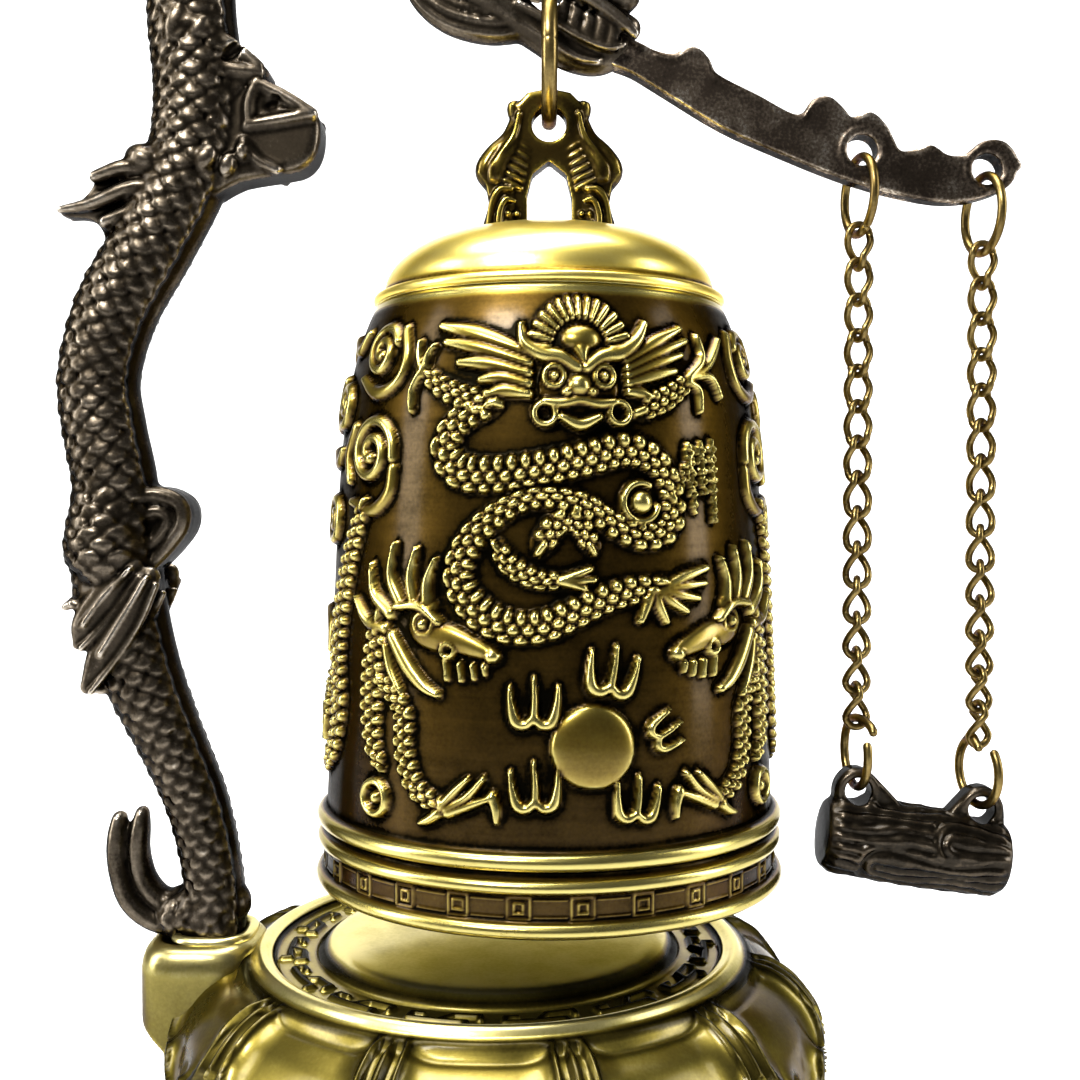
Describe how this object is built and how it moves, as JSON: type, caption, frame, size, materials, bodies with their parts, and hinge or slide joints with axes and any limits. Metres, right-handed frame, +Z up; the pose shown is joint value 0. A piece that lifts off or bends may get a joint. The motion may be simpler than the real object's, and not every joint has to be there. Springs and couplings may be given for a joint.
{
  "type": "temple bell",
  "caption": "Table-top temple bell: lotus base, dragon-shaped arm, bell on a split ring and a log-shaped striker hung on two curb chains.",
  "frame": {"origin": "centre of the base's foot, on the surface that it stands on", "axes": "+Z up, +X from the bell towards the striker, -Y the front"},
  "size_m": [0.1167, 0.081, 0.1663],
  "materials": {
    "lotus_brass": "antique brass, glossy lacquer, dark recesses",
    "arm_bronze": "dark bronze with worn grey edges, satin",
    "bar_bronze": "dark bronze, mottled, satin",
    "screw_brass": "plain brass, satin",
    "wire_brass": "aged brass wire, semi-gloss",
    "chain_brass": "aged brass wire, semi-gloss",
    "bell_brass": "antique brass relief on dark lacquered ground, glossy",
    "cap_brass": "antique brass, glossy lacquer",
    "loop_bronze": "antique brass, mostly dark, glossy",
    "log_bronze": "near-black bronze with lighter ridges, semi-gloss"
  },
  "bodies": {
    "base": {"lotus_base": "lotus_brass", "dragon_arm": "arm_bronze", "striker_bar": "bar_bronze", "arm_screw": "screw_brass", "arm_washer": "screw_brass"},
    "ring": {"bell_ring": "wire_brass"},
    "bell": {"bell_body": "bell_brass", "bell_cap": "cap_brass", "bell_loop": "loop_bronze", "loop_screws": "screw_brass"},
    "left_hanger": {"left_top_ring": "wire_brass"},
    "right_hanger": {"right_top_ring": "wire_brass"},
    "left_chain": {"left_link_01": "chain_brass", "left_link_02": "chain_brass", "left_link_03": "chain_brass", "left_link_04": "chain_brass", "left_link_05": "chain_brass", "left_link_06": "chain_brass", "left_link_07": "chain_brass", "left_link_08": "chain_brass", "left_link_09": "chain_brass", "left_link_10": "chain_brass", "left_link_11": "chain_brass", "left_link_12": "chain_brass", "left_link_13": "chain_brass", "left_link_14": "chain_brass", "left_bottom_ring": "wire_brass"},
    "right_chain": {"right_link_01": "chain_brass", "right_link_02": "chain_brass", "right_link_03": "chain_brass", "right_link_04": "chain_brass", "right_link_05": "chain_brass", "right_link_06": "chain_brass", "right_link_07": "chain_brass", "right_link_08": "chain_brass", "right_link_09": "chain_brass", "right_link_10": "chain_brass", "right_link_11": "chain_brass", "right_link_12": "chain_brass", "right_link_13": "chain_brass", "right_link_14": "chain_brass", "right_bottom_ring": "wire_brass"},
    "striker": {"striker": "log_bronze"}
  },
  "joints": [
    {"name": "ring_turn", "type": "hinge", "parent": "base", "child": "ring", "pos_m": [0.0062, 0, 0.1323], "axis": [1, 0, 0], "range_deg": [-25, 25]},
    {"name": "bell_swing", "type": "hinge", "parent": "ring", "child": "bell", "pos_m": [0.0062, 0, 0.12505], "axis": [0, 1, 0], "range_deg": [0, 5]},
    {"name": "striker_swing_out", "type": "hinge", "parent": "base", "child": "left_hanger", "pos_m": [0.044, 0, 0.1159], "axis": [0.9886, 0, -0.1506], "range_deg": [-30, 30]},
    {"name": "right_swing_out", "type": "hinge", "parent": "base", "child": "right_hanger", "pos_m": [0.0591, 0, 0.1136], "axis": [0.9886, 0, -0.1506], "range_deg": [-31, 31]},
    {"name": "striker_swing", "type": "hinge", "parent": "left_hanger", "child": "left_chain", "pos_m": [0.044, 0, 0.1113], "axis": [0, 1, 0], "range_deg": [-35, 3.9]},
    {"name": "right_swing", "type": "hinge", "parent": "right_hanger", "child": "right_chain", "pos_m": [0.0591, 0, 0.109], "axis": [0, 1, 0], "range_deg": [-36, 4.9]},
    {"name": "striker_level", "type": "hinge", "parent": "left_chain", "child": "striker", "pos_m": [0.044, 0, 0.04364], "axis": [0, 1, 0], "range_deg": [-4.9, 36]}
  ],
  "couplings": [
    {"joint": "right_swing_out", "follows": "striker_swing_out", "ratio": 1},
    {"joint": "right_swing", "follows": "striker_swing", "ratio": 1},
    {"joint": "striker_level", "follows": "striker_swing", "ratio": -1}
  ]
}
